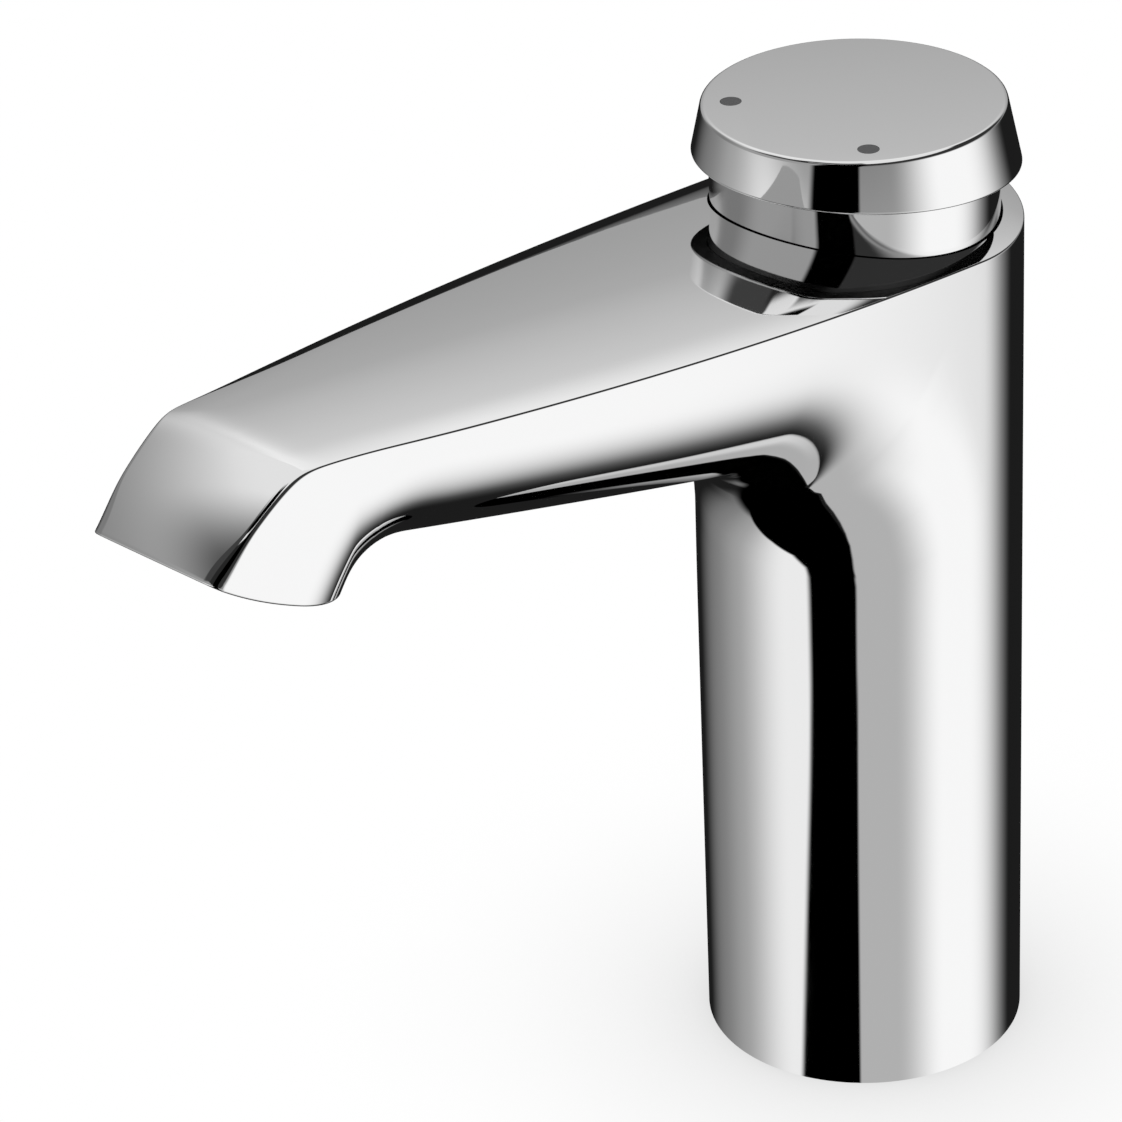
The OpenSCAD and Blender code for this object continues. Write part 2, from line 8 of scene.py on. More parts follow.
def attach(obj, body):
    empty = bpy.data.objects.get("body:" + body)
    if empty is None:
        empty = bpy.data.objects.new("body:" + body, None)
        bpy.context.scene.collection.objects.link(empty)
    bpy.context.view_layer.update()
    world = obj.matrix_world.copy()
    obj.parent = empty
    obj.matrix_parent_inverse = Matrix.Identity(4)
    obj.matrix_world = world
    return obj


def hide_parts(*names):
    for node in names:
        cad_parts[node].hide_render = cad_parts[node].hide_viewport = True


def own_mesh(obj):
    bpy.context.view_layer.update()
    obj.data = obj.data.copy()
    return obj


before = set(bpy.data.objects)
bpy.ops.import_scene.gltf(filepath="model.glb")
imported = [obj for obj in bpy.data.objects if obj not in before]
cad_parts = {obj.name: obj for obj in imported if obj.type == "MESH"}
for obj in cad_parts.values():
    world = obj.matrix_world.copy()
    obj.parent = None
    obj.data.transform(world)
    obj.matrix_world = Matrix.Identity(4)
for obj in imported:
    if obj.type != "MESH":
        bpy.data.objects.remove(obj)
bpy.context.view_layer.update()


# Body: one brass casting, ground and polished and then plated with nickel and chromium.
# A round column runs through a hollow into a spout that narrows to its nose; the crowned top
# face meets the walls in a fine edge, and the nose is cut off by a sloping front face.

MM = 0.001
COLUMN_R = 24.0
TOP_H, TOP_SLOPE, CROWN = 136.1, math.tan(math.radians(4.75)), 1 / 220
LIP_REACH, LIP_H, FRONT_SLOPE = 134.5, 134.9, math.tan(math.radians(37.2))
CREST_SOFTNESS = 0.65
FRONT_BOW, FRONT_MIDDLE, FRONT_HALF = 1.0, -127.8, 8.0
TAPER_LEN, TAPER_HALF, NOSE_HALF, EASE = 112.0, 13.55, 11.4, 12.0
TAPER_SLOPE = 2 * (COLUMN_R - TAPER_HALF) / TAPER_LEN
NOSE_SLOPE = (TAPER_HALF - NOSE_HALF - TAPER_SLOPE * EASE / 2) / (LIP_REACH - TAPER_LEN - EASE / 2)
NOSE_SPREAD, SPREAD_FROM, SPREAD_LEN = 0.6, 104.0, 20.0
ROLL_WIDTH, ROLL, NOSE_ROLL, ROLL_EASE_FROM, ROLL_EASE_LEN = 4.5, 0.02, 0.65, 90.0, 25.0
HOLLOW_R, UNDER_H, UNDER_AT = 20.0, 110.9, -50.0
UNDER_ANGLE = math.radians(14.9)
TURN_REACH, TURN_LEN, TURN_STEPS, DROP_ANGLE = 95.8, 20.0, 400, math.radians(62)
MOUTH = Vector((0, -123.5, 127.3))
JET = Vector((0, math.sin(math.radians(26)), math.cos(math.radians(26))))
MOUTH_R = 64.0
MOUTH_AXIS = MOUTH + MOUTH_R * JET
WELL_R, WELL_FLOOR = 21.0, 118.0
AERATOR_BORE_R, AERATOR_SEAT = 8.25, 8.0
EDGE_R, FRONT_EDGE_R, NOSE_EDGE_R = 0.22, 0.9, 2.4
FRONT_EDGE_FROM, FRONT_EDGE_LEN, NOSE_EDGE_FROM, NOSE_EDGE_LEN = 116.0, 7.0, 127.0, 8.0
AROUND = 32


def smooth(t):
    """Even rise from 0 to 1."""
    t = min(max(t, 0), 1)
    return t * t * t * (t * (6 * t - 15) + 10)


def half_width(y):
    """Half width of the walls at y, in front of the column's axis, with the nose's slight spread."""
    spread = NOSE_SPREAD * smooth((-y - SPREAD_FROM) / SPREAD_LEN)
    if -y < TAPER_LEN:
        return COLUMN_R - (COLUMN_R - TAPER_HALF) * (y / TAPER_LEN) ** 2 + spread
    past = -y - TAPER_LEN
    if past < EASE:
        return TAPER_HALF - TAPER_SLOPE * past + (TAPER_SLOPE - NOSE_SLOPE) * past * past / (2 * EASE) + spread
    return TAPER_HALF - TAPER_SLOPE * EASE / 2 - NOSE_SLOPE * (past - EASE / 2) + spread


def top_height(x, y):
    """Height of the crowned top face and front face, which roll off towards the edge."""
    ridge = TOP_H - TOP_SLOPE * y
    across = (y - FRONT_MIDDLE) / FRONT_HALF
    bow = FRONT_BOW * (1 - across * across if across < 1 else 2 - 2 * across)
    front = LIP_H + FRONT_SLOPE * (y + LIP_REACH) + bow
    lower, gap = min(ridge, front), abs(ridge - front)
    inward = half_width(y) - abs(x) if y < 0 else COLUMN_R - math.hypot(x, y)
    roll = ROLL * (1 - (1 - NOSE_ROLL) * smooth((-y - ROLL_EASE_FROM) / ROLL_EASE_LEN))
    roll *= 1 - smooth((-y - FRONT_EDGE_FROM) / FRONT_EDGE_LEN)
    crown = x * x * CROWN + roll * max(ROLL_WIDTH - inward, 0) ** 2
    return lower - CREST_SOFTNESS * math.log1p(math.exp(-gap / CREST_SOFTNESS)) - crown


def mouth_height(y):
    """Height of the mouth's rounded face."""
    return MOUTH_AXIS.z - math.sqrt(MOUTH_R ** 2 - (y - MOUTH_AXIS.y) ** 2)


def edge_radius(y):
    """Rounding of the edge above the walls, which grows down the front face to the lip."""
    front = (FRONT_EDGE_R - EDGE_R) * smooth((-y - FRONT_EDGE_FROM) / FRONT_EDGE_LEN)
    return EDGE_R + front + (NOSE_EDGE_R - FRONT_EDGE_R) * smooth((-y - NOSE_EDGE_FROM) / NOSE_EDGE_LEN)


def solve(below, low, high):
    """Value between low and high at which the test stops being true."""
    for _ in range(60):
        middle = (low + high) / 2
        low, high = (middle, high) if below(middle) else (low, middle)
    return (low + high) / 2


# The line in the middle plane up the column's front, round the hollow, along the underside and
# round the turn to the mouth, by its length from LEAN_FROM.
UNDER_SLOPE = math.tan(UNDER_ANGLE)
HOLLOW_Y = -COLUMN_R - HOLLOW_R
HOLLOW_Z = UNDER_H - UNDER_SLOPE * (HOLLOW_Y - UNDER_AT) - HOLLOW_R / math.cos(UNDER_ANGLE)
LEAN_FROM = 52.0
RISE_LEN = HOLLOW_Z - LEAN_FROM
HOLLOW_LEN = HOLLOW_R * (math.pi / 2 - UNDER_ANGLE)
UNDER_FIRST = HOLLOW_Y + HOLLOW_R * math.sin(UNDER_ANGLE)
UNDER_LEN = (TURN_REACH + UNDER_FIRST) / math.cos(UNDER_ANGLE)
turn_line = [(-TURN_REACH, UNDER_H + UNDER_SLOPE * (TURN_REACH + UNDER_AT))]
for k in range(TURN_STEPS):
    share = (k + 0.5) / TURN_STEPS
    a = UNDER_ANGLE - (UNDER_ANGLE + DROP_ANGLE) * share * share * (3 - 2 * share)
    y, z = turn_line[-1]
    turn_line.append((y - TURN_LEN / TURN_STEPS * math.cos(a), z + TURN_LEN / TURN_STEPS * math.sin(a)))
# The wall's lines lean from level, on the column, to upright, on the spout. From SPOUT_LEAN on they
# have the spout's width.
UPRIGHT_AT, SPOUT_LEAN, STEEP_LEAN = 24.0, math.radians(45), math.radians(60)
LEAN_LEN = RISE_LEN + HOLLOW_LEN + UPRIGHT_AT
WALL_REACH, FULL_SHARE, ROUND_SHARE, DEPTH_SOFTNESS = 140, 0.96, 0.2, 3.5
EDGE_STEPS = 6


def inner_line(s):
    """Point y, z of the line in the middle plane."""
    if s < RISE_LEN:
        return -COLUMN_R, LEAN_FROM + s
    s -= RISE_LEN
    if s < HOLLOW_LEN:
        a = s / HOLLOW_R
        return HOLLOW_Y + HOLLOW_R * math.cos(a), HOLLOW_Z + HOLLOW_R * math.sin(a)
    s -= HOLLOW_LEN
    if s < UNDER_LEN:
        y = UNDER_FIRST - s * math.cos(UNDER_ANGLE)
        return y, UNDER_H - UNDER_SLOPE * (y - UNDER_AT)
    s -= UNDER_LEN
    if s < TURN_LEN:
        step = int(s / TURN_LEN * TURN_STEPS)
        (y, z), (next_y, next_z) = turn_line[step:step + 2]
        part = s / TURN_LEN * TURN_STEPS - step
        return y + (next_y - y) * part, z + (next_z - z) * part
    s -= TURN_LEN
    y, z = turn_line[-1]
    return y - s * math.cos(DROP_ANGLE), z - s * math.sin(DROP_ANGLE)


def wall_point(line, d):
    """Point of the wall at depth d along one of the lines that lean from level to upright."""
    y0, z0, lean, depth = line
    y, z = y0 + d * math.cos(lean), z0 + d * math.sin(lean)
    u = min(d / depth, 1)
    half = COLUMN_R + (half_width(min(y, 0)) - COLUMN_R) * smooth(lean / SPOUT_LEAN)
    return Vector((half * math.sqrt(1 - (1 - u) ** 2), y, z))


def edge_gap(p):
    """Room between a point of the wall and the start of the rounded edge above it."""
    return top_height(p.x, p.y) - edge_radius(p.y) - p.z


def wall_line(y0, z0, s):
    """Line of the wall that starts at a point of the inner line, with its depth of rounding."""
    lean = math.pi / 2 * smooth(s / LEAN_LEN)
    trial = (y0, z0, lean, COLUMN_R)
    reach = solve(lambda d: edge_gap(wall_point(trial, d)) > 0, 0, WALL_REACH)
    full, round_part = FULL_SHARE * reach, COLUMN_R + ROUND_SHARE * (reach - COLUMN_R)
    spout_depth = min(full, round_part) - DEPTH_SOFTNESS * math.log1p(
        math.exp(-abs(full - round_part) / DEPTH_SOFTNESS))
    depth = COLUMN_R + (spout_depth - COLUMN_R) * smooth(s / LEAN_LEN)
    if lean < STEEP_LEAN:
        depth = min(depth, COLUMN_R / math.cos(lean))
    return y0, z0, lean, depth


def wall_row(line, low, high):
    """Points of a line of the wall, closer together at its start."""
    return [wall_point(line, low + (high - low) * (1 - math.cos(math.pi / 2 * j / AROUND)))
            for j in range(AROUND + 1)]


def rounded_at(start, corner, end, t, weight=math.sqrt(0.5)):
    """Point at the share t of a rounded corner."""
    a, b, c = (1 - t) ** 2, 2 * weight * t * (1 - t), t * t
    return (a * start + b * corner + c * end) / (a + b + c)


def edge_row(foot, normal, low=0.0):
    """Rounded edge from the wall's end to the top face, from the share low of its turn."""
    r = edge_radius(foot.y)
    corner = Vector((foot.x, foot.y, top_height(foot.x, foot.y)))
    start = corner - Vector((0, 0, r))
    end = corner - r * normal
    end.z = top_height(end.x, end.y)
    return [rounded_at(start, corner, end, low + (1 - low) * k / EDGE_STEPS) for k in range(EDGE_STEPS + 1)]


def front_normal(y, step=0.01):
    """Level direction out of the wall in front of the column's axis."""
    n = Vector((1, -(half_width(y + step) - half_width(y - step)) / (2 * step), 0))
    return n.normalized()


def side_gap(s):
    """Room left under the top edge where a line of the wall reaches the side of the column."""
    line = wall_line(*inner_line(s), s)
    return edge_gap(wall_point(line, -line[0] / math.cos(line[2])))


# The skin of the nose ends a little above the mouth, where the rounded lip begins
LIP_R = 0.4
LIP_FROM, LIP_TO = -140, -125
NOSE_LINES, NOSE_CROWDING, NOSE_REACH = 90, 0.35, 80
MOUTH_FROM, MOUTH_TO = RISE_LEN + HOLLOW_LEN + UNDER_LEN + 2, RISE_LEN + HOLLOW_LEN + UNDER_LEN + TURN_LEN + 30


def lip_at(x, rise):
    """Point of the front face at a rise above the mouth."""
    y = solve(lambda y: top_height(x, y) < mouth_height(y) + rise, LIP_FROM, LIP_TO)
    return Vector((x, y, mouth_height(y) + rise))


def nose_skin(rise):
    """Start, end and lines, with their edges, of the nose's skin down to a rise above the mouth."""
    back_s = solve(lambda s: inner_line(s)[1] > mouth_height(inner_line(s)[0]) + rise, MOUTH_FROM, MOUTH_TO)
    back_y = inner_line(back_s)[0]
    end_y = solve(lambda y: top_height(half_width(y) - edge_radius(y), y) < mouth_height(y) + rise, LIP_FROM, LIP_TO)
    side = Vector((1, 0, 0))
    lines = []
    for k in range(1, NOSE_LINES + 1):
        f = k / NOSE_LINES
        y = back_y + (end_y - back_y) * (f - NOSE_CROWDING * math.sin(2 * math.pi * f) / (2 * math.pi))
        past = solve(lambda s: inner_line(s)[0] > y, back_s, back_s + NOSE_REACH)
        line = wall_line(*inner_line(past), past)
        sill = mouth_height(y) + rise
        low = sill - line[1]
        high = top_height(half_width(y), y) - edge_radius(y) - line[1]
        foot = wall_point(line, max(high, low))
        trimmed = 0.0
        if high < low:
            trimmed = solve(lambda t: edge_row(foot, side, t)[0].z < sill, 0, 1)
        edge = edge_row(foot, side, trimmed)
        lines.append((wall_row(line, low, high) if high > low else [edge[0]] * (AROUND + 1), edge))
    return back_s, end_y, lines


# Lines of the wall up to the side of the column, then along the top edge to the mouth
COLUMN_LEVELS = (0, 13, 26, 39, LEAN_FROM)
SIDE_LINES, FRONT_LINES, SPOUT_LINES, WELL_PAST, JUST_AHEAD = 24, AROUND, 60, 6, -0.02
corner_s = solve(lambda s: side_gap(s) > 0, 0, RISE_LEN + HOLLOW_LEN)
well_s = RISE_LEN + HOLLOW_LEN + WELL_PAST
mouth_s, lip_y, nose_lines = nose_skin(LIP_R)
wall_rows, side_heights = [], []
for z in COLUMN_LEVELS:
    line = (-COLUMN_R, z, 0, COLUMN_R)
    wall_rows.append(wall_row(line, 0, COLUMN_R))
    side_heights.append(z)
for k in range(1, SIDE_LINES + 1):
    s = corner_s * k / SIDE_LINES
    line = wall_line(*inner_line(s), s)
    row = wall_row(line, 0, -line[0] / math.cos(line[2]))
    wall_rows.append(row)
    side_heights.append(row[-1].z)

edge_rows, mouth_edge = [], []
for k in range(FRONT_LINES + SPOUT_LINES + 1):
    # The first lines fan out beside the well; the rest run to the mouth
    s = corner_s + (well_s - corner_s) * k / FRONT_LINES
    if k > FRONT_LINES:
        s = well_s + (mouth_s - well_s) * (k - FRONT_LINES) / SPOUT_LINES
    line = wall_line(*inner_line(s), s)
    high = solve(lambda d: edge_gap(wall_point(line, d)) > 0, 0, WALL_REACH)
    row = wall_row(line, 0, high)
    if k:
        wall_rows.append(row)
    edge_rows.append(edge_row(row[-1], front_normal(min(row[-1].y, JUST_AHEAD))))
mouth_edge.append(wall_rows[-1][0])
for row, edge in nose_lines:
    wall_rows.append(row)
    edge_rows.append(edge)
    mouth_edge.append(row[0])

# The plain back of the column, and its part of the top edge
back_rows, back_edges = [], []
for k in range(AROUND + 1):
    a = math.pi / 2 * k / AROUND
    x, y = COLUMN_R * math.cos(a), COLUMN_R * math.sin(a)
    rim = top_height(x, y) - EDGE_R
    back_rows.append([Vector((x, y, z * rim / side_heights[-1])) for z in side_heights])
    back_edges.append(edge_row(Vector((x, y, rim)), Vector((math.cos(a), math.sin(a), 0))))

# Top face between the edge and the well, and then the middle line
ACROSS, ACROSS_CROWDING = 18, 1.6
lip_middle = lip_at(0, LIP_R).y
top_rows = []
for k in range(AROUND, 0, -1):
    a = math.pi / 2 * k / AROUND
    outer, inner = back_edges[k][-1], WELL_R * Vector((math.cos(a), math.sin(a), 0))
    top_rows.append((outer, inner))
for k, edge in enumerate(edge_rows):
    a = -math.pi / 2 * k / FRONT_LINES
    if k <= FRONT_LINES:
        inner = WELL_R * Vector((math.cos(a), math.sin(a), 0))
    else:
        share = (edge[-1].y - edge_rows[FRONT_LINES][-1].y) / (lip_y - edge_rows[FRONT_LINES][-1].y)
        inner = Vector((0, -WELL_R + (lip_middle + WELL_R) * share, 0))
    top_rows.append((edge[-1], inner))
top_sheet = []
for outer, inner in top_rows:
    row = [outer.lerp(inner, (j / ACROSS) ** ACROSS_CROWDING) for j in range(ACROSS + 1)]
    top_sheet.append([Vector((p.x, p.y, top_height(p.x, p.y))) for p in row])
lip_row = [lip_at(p.x, LIP_R) for p in top_sheet[-1]]
top_sheet[-1] = lip_row

# Rounded lip, and the face of the mouth between it and the seat of the aerator
MOUTH_STEPS = 6
mouth_chain = mouth_edge + lip_row[1:]
corner_back, _, corner_lines = nose_skin(0.0)
corners = [Vector((0, *inner_line(corner_back)))] + [row[0] for row, edge in corner_lines]
corners += [lip_at(p.x, 0.0) for p in lip_row[1:]]
lip_rows, mouth_sheet, bore_rim = [], [], []
along = JET.cross(Vector((1, 0, 0)))
for k, (start, corner) in enumerate(zip(mouth_chain, corners)):
    flat = corner - MOUTH
    a = math.atan2(flat.x, -flat.dot(along))
    x, f = AERATOR_BORE_R * math.sin(a), -AERATOR_BORE_R * math.cos(a)
    if k in (0, len(mouth_chain) - 1):
        x = 0.0
    bow = MOUTH_R - math.sqrt(MOUTH_R ** 2 - f * f)
    inner = MOUTH + Vector((x, 0, 0)) + f * along + bow * JET
    bore_rim.append(inner)
    outer = corner + LIP_R * (inner - corner).normalized()
    outer.z = mouth_height(outer.y)
    lip_rows.append([rounded_at(start, corner, outer, j / EDGE_STEPS) for j in range(EDGE_STEPS + 1)])
    row = [outer.lerp(inner, j / MOUTH_STEPS) for j in range(MOUTH_STEPS + 1)]
    mouth_sheet.append([Vector((p.x, p.y, mouth_height(p.y))) for p in row[:-1]] + [inner])
AERATOR_WAY, AERATOR_STEP = 0.55, 1.2
seat_profile = ((1, None), (1, AERATOR_SEAT), (AERATOR_WAY, AERATOR_SEAT),
                (AERATOR_WAY, AERATOR_SEAT + AERATOR_STEP), (0.0, AERATOR_SEAT + AERATOR_STEP))
seat_rows = []
for r, depth in seat_profile:
    row = []
    for p in bore_rim:
        level = p - (p - MOUTH).dot(JET) * JET
        row.append(p if depth is None else MOUTH + r * (level - MOUTH) + depth * JET)
    seat_rows.append(row)

# Foot with the gasket's groove, and the bores up to the well
MAIN_BORE_R, FOOT_BORE_R, FOOT_BORE_H, GROOVE_IN_R, GROOVE_OUT_R, GROOVE_H = 18.5, 19.5, 56, 20.625, 22.925, 1.5
bore_profile = ((WELL_R, None), (WELL_R, WELL_FLOOR), (MAIN_BORE_R, WELL_FLOOR), (MAIN_BORE_R, FOOT_BORE_H),
                (FOOT_BORE_R, FOOT_BORE_H), (FOOT_BORE_R, 0), (GROOVE_IN_R, 0), (GROOVE_IN_R, GROOVE_H),
                (GROOVE_OUT_R, GROOVE_H), (GROOVE_OUT_R, 0), (COLUMN_R, 0))
bore_rows = []
for r, z in bore_profile:
    row = []
    for k in range(2 * AROUND + 1):
        a = math.pi / 2 - math.pi / 2 * k / AROUND
        x, y = r * math.cos(a), r * math.sin(a)
        row.append(Vector((x, y, top_height(x, y) if z is None else z)))
    bore_rows.append(row)


def lay_sheet(bm, rows):
    """Sheet of quads: the first row is a chain of edges, and each next row is extruded from the last."""
    chain = [bm.verts.new(p) for p in rows[0]]
    edges = [bm.edges.new(pair) for pair in zip(chain, chain[1:])]
    for row in rows[1:]:
        made = bmesh.ops.extrude_edge_only(bm, edges=edges)["geom"]
        fresh = {v for v in made if isinstance(v, bmesh.types.BMVert)}
        chain = [next(e.other_vert(v) for e in v.link_edges if e.other_vert(v) in fresh) for v in chain]
        for v, p in zip(chain, row):
            v.co = p
        edges = [bm.edges.get(pair) for pair in zip(chain, chain[1:])]


def finish_mesh(bm, name, sharp=math.radians(35)):
    """Object from a bmesh in millimetres, with smooth faces and sharp edges by angle."""
    bmesh.ops.scale(bm, vec=(MM, MM, MM), verts=bm.verts)
    bmesh.ops.recalc_face_normals(bm, faces=bm.faces)
    mesh = bpy.data.meshes.new(name)
    bm.to_mesh(mesh)
    bm.free()
    mesh.shade_smooth()
    mesh.set_sharp_from_angle(angle=sharp)
    piece = bpy.data.objects.new(name, mesh)
    bpy.context.collection.objects.link(piece)
    return piece


MERGE, TINY_EDGE, SEAM = 0.004, 0.001, 0.002
bm = bmesh.new()
for rows in (wall_rows, back_rows, edge_rows, back_edges, top_sheet, lip_rows, mouth_sheet, seat_rows, bore_rows):
    lay_sheet(bm, rows)
bmesh.ops.remove_doubles(bm, verts=bm.verts, dist=MERGE)
bmesh.ops.dissolve_degenerate(bm, edges=bm.edges, dist=TINY_EDGE)
for v in bm.verts:
    if abs(v.co.x) < MERGE:
        v.co.x = 0
bmesh.ops.mirror(bm, geom=bm.verts[:] + bm.edges[:] + bm.faces[:], axis="X", merge_dist=SEAM)
bmesh.ops.remove_doubles(bm, verts=bm.verts, dist=MERGE)
tap_body = finish_mesh(bm, "tap_body")
tap_body.modifiers.new("even_normals", "WEIGHTED_NORMAL").keep_sharp = True


def node_material(name):
    """Empty node material with its shader and output."""
    material = bpy.data.materials.new(name)
    material.use_nodes = True
    nodes, links = material.node_tree.nodes, material.node_tree.links
    return material, nodes, links, nodes["Principled BSDF"]


# Shared effect: faint unevenness of a worked surface, as a mask and a height
uneven = bpy.data.node_groups.new("worked_surface", "ShaderNodeTree")
for socket, value in (("Coarse Scale", 40.0), ("Fine Scale", 600.0)):
    uneven.interface.new_socket(socket, in_out="INPUT", socket_type="NodeSocketFloat").default_value = value
for socket in ("Mask", "Height"):
    uneven.interface.new_socket(socket, in_out="OUTPUT", socket_type="NodeSocketFloat")
inputs, outputs = uneven.nodes.new("NodeGroupInput"), uneven.nodes.new("NodeGroupOutput")
place = uneven.nodes.new("ShaderNodeTexCoord")
coarse, fine = uneven.nodes.new("ShaderNodeTexNoise"), uneven.nodes.new("ShaderNodeTexNoise")
coarse.inputs["Detail"].default_value = 3.0
fine.inputs["Detail"].default_value = 2.0
both = uneven.nodes.new("ShaderNodeMath")
both.operation = "MULTIPLY_ADD"
both.inputs[1].default_value = 0.35
uneven.links.new(place.outputs["Object"], coarse.inputs["Vector"])
uneven.links.new(place.outputs["Object"], fine.inputs["Vector"])
uneven.links.new(inputs.outputs["Coarse Scale"], coarse.inputs["Scale"])
uneven.links.new(inputs.outputs["Fine Scale"], fine.inputs["Scale"])
uneven.links.new(fine.outputs["Fac"], both.inputs[0])
uneven.links.new(coarse.outputs["Fac"], both.inputs[2])
uneven.links.new(coarse.outputs["Fac"], outputs.inputs["Mask"])
uneven.links.new(both.outputs["Value"], outputs.inputs["Height"])


def worked_finish(name, colour, metallic, rough, coarse_scale, fine_scale, bump):
    """Material whose gloss varies between two roughnesses, and its relief by strength and depth."""
    material, nodes, links, shader = node_material(name)
    shader.inputs["Base Color"].default_value = (*colour, 1)
    shader.inputs["Metallic"].default_value = metallic
    surface = nodes.new("ShaderNodeGroup")
    surface.node_tree = uneven
    surface.inputs["Coarse Scale"].default_value = coarse_scale
    surface.inputs["Fine Scale"].default_value = fine_scale
    gloss = nodes.new("ShaderNodeMapRange")
    gloss.inputs["From Min"].default_value = 0.3
    gloss.inputs["From Max"].default_value = 0.7
    gloss.inputs["To Min"].default_value = rough[0]
    gloss.inputs["To Max"].default_value = rough[1]
    links.new(surface.outputs["Mask"], gloss.inputs["Value"])
    links.new(gloss.outputs["Result"], shader.inputs["Roughness"])
    if bump:
        relief = nodes.new("ShaderNodeBump")
        relief.inputs["Strength"].default_value = bump[0]
        relief.inputs["Distance"].default_value = bump[1]
        links.new(surface.outputs["Height"], relief.inputs["Height"])
        links.new(relief.outputs["Normal"], shader.inputs["Normal"])
    return material


chrome_plate = worked_finish("chrome_plate", (0.935, 0.935, 0.936), 1.0, (0.015, 0.04), 55.0, 900.0, None)
tap_body.data.materials.append(chrome_plate)
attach(tap_body, "body")
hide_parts("body_casting")


# Inlet base and cartridge hardware: turned from brass bar and left uncoated. The base is pressed
# into the column's foot, and the nut holds the cartridge down from above.

def finish_node(material, *names):
    """Gives CAD nodes a better material."""
    for name in names:
        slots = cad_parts[name].data.materials
        slots.clear()
        slots.append(material)


turned_brass = worked_finish("turned_brass", (0.72, 0.55, 0.27), 1.0, (0.22, 0.36), 90.0, 1500.0, (0.15, 0.00005))
finish_node(turned_brass, "inlet_base", "cartridge_sleeve", "valve_seat", "spindle_guide", "cartridge_nut",
            "valve_holder")

# Seals and gaskets: moulded nitrile rubber, matt black with a faint bloom. Each one lies in the
# groove or seat of a neighbour and is squeezed there.
nitrile = worked_finish("nitrile_rubber", (0.018, 0.018, 0.019), 0.0, (0.55, 0.75), 120.0, 2500.0, (0.2, 0.00004))
finish_node(nitrile, "base_gasket", "port_seals", "base_seal", "flange_seal", "spindle_seal", "piston_seal",
            "valve_washer", "aerator_washer")

# Cartridge foot, disc driver, timing cup, piston and the aerator's insert: injection-moulded
# acetal, off-white. Foot, cup and insert sit fast, the driver turns, and the piston slides in
# the cup.
acetal = worked_finish("moulded_acetal", (0.78, 0.78, 0.74), 0.0, (0.38, 0.5), 70.0, 1800.0, (0.1, 0.00003))
finish_node(acetal, "cartridge_base", "disc_driver", "timing_cup", "piston", "aerator_insert")

# Ceramic discs: sintered alumina, lapped flat so that they slide and seal. The lower one stands
# still, and the driver turns the upper one.
alumina = worked_finish("lapped_alumina", (0.85, 0.83, 0.78), 0.0, (0.12, 0.22), 140.0, 2200.0, None)
finish_node(alumina, "fixed_disc", "mixing_disc")

# Spindle, washer and nut: drawn and turned stainless steel. The spindle is screwed into the
# button above and carries the valve and its nut below.
stainless = worked_finish("drawn_stainless", (0.60, 0.60, 0.61), 1.0, (0.2, 0.34), 80.0, 1600.0, (0.12, 0.00004))
finish_node(stainless, "spindle", "thrust_washer", "valve_nut")

# Return spring: one stainless wire, wound open from the thrust washer up to the button's roof.
# It stands loose on the washer, and the button squeezes it when it is pushed.
COIL_R, WIRE_R, COIL_TURNS, COIL_STEPS, WIRE_STEPS = 10.0, 0.8, 6, 40, 12
COIL_SEAT, COIL_FOOT, COIL_HEAD, PUSH_TRAVEL = 125.1, 125.2, 147.0, 1.7
coil_rows = []
for k in range(COIL_TURNS * COIL_STEPS + 1):
    a = 2 * math.pi * k / COIL_STEPS
    climb = (COIL_HEAD - COIL_FOOT - 2 * WIRE_R) * k / (COIL_TURNS * COIL_STEPS)
    row = []
    for j in range(WIRE_STEPS + 1):
        b = 2 * math.pi * j / WIRE_STEPS
        r = COIL_R + WIRE_R * math.cos(b)
        z = COIL_FOOT + WIRE_R + climb + WIRE_R * math.sin(b)
        row.append(Vector((r * math.cos(a), r * math.sin(a), z)))
    coil_rows.append(row)
bm = bmesh.new()
lay_sheet(bm, coil_rows)
bmesh.ops.remove_doubles(bm, verts=bm.verts, dist=MERGE)
bmesh.ops.holes_fill(bm, edges=[e for e in bm.edges if e.is_boundary], sides=0)
spring_wire = finish_mesh(bm, "spring_wire")
spring_wire.data.materials.append(stainless)
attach(spring_wire, "selector")
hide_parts("return_spring")
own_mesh(spring_wire)

# Aerator's housing: a short brass ring, plated like the body and screwed into the mouth, with
# the moulded insert and the washer in it.
finish_node(chrome_plate, "aerator_housing")

# Skirt: a drawn brass tube, plated like the body, which hangs under the button and runs down
# into the well of the body with a narrow gap all round.
SKIRT_R, SKIRT_BORE_R, SKIRT_FOOT, SKIRT_TOP, SKIRT_EDGE = 20.7, 18.7, 126.7, 145.9, 0.3
ROUND_STEPS = 128
bm = bmesh.new()
outline = [bm.verts.new(p) for p in ((SKIRT_BORE_R, 0, SKIRT_FOOT), (SKIRT_R - SKIRT_EDGE, 0, SKIRT_FOOT),
                                     (SKIRT_R, 0, SKIRT_FOOT + SKIRT_EDGE), (SKIRT_R, 0, SKIRT_TOP),
                                     (SKIRT_BORE_R, 0, SKIRT_TOP))]
edges = [bm.edges.new(pair) for pair in zip(outline, outline[1:] + outline[:1])]
bmesh.ops.spin(bm, geom=outline + edges, cent=(0, 0, 0), axis=(0, 0, 1), angle=2 * math.pi,
               steps=ROUND_STEPS, use_merge=True)
bmesh.ops.remove_doubles(bm, verts=bm.verts, dist=MERGE)
button_skirt = finish_mesh(bm, "button_skirt")
button_skirt.data.materials.append(chrome_plate)
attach(button_skirt, "button")
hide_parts("skirt")


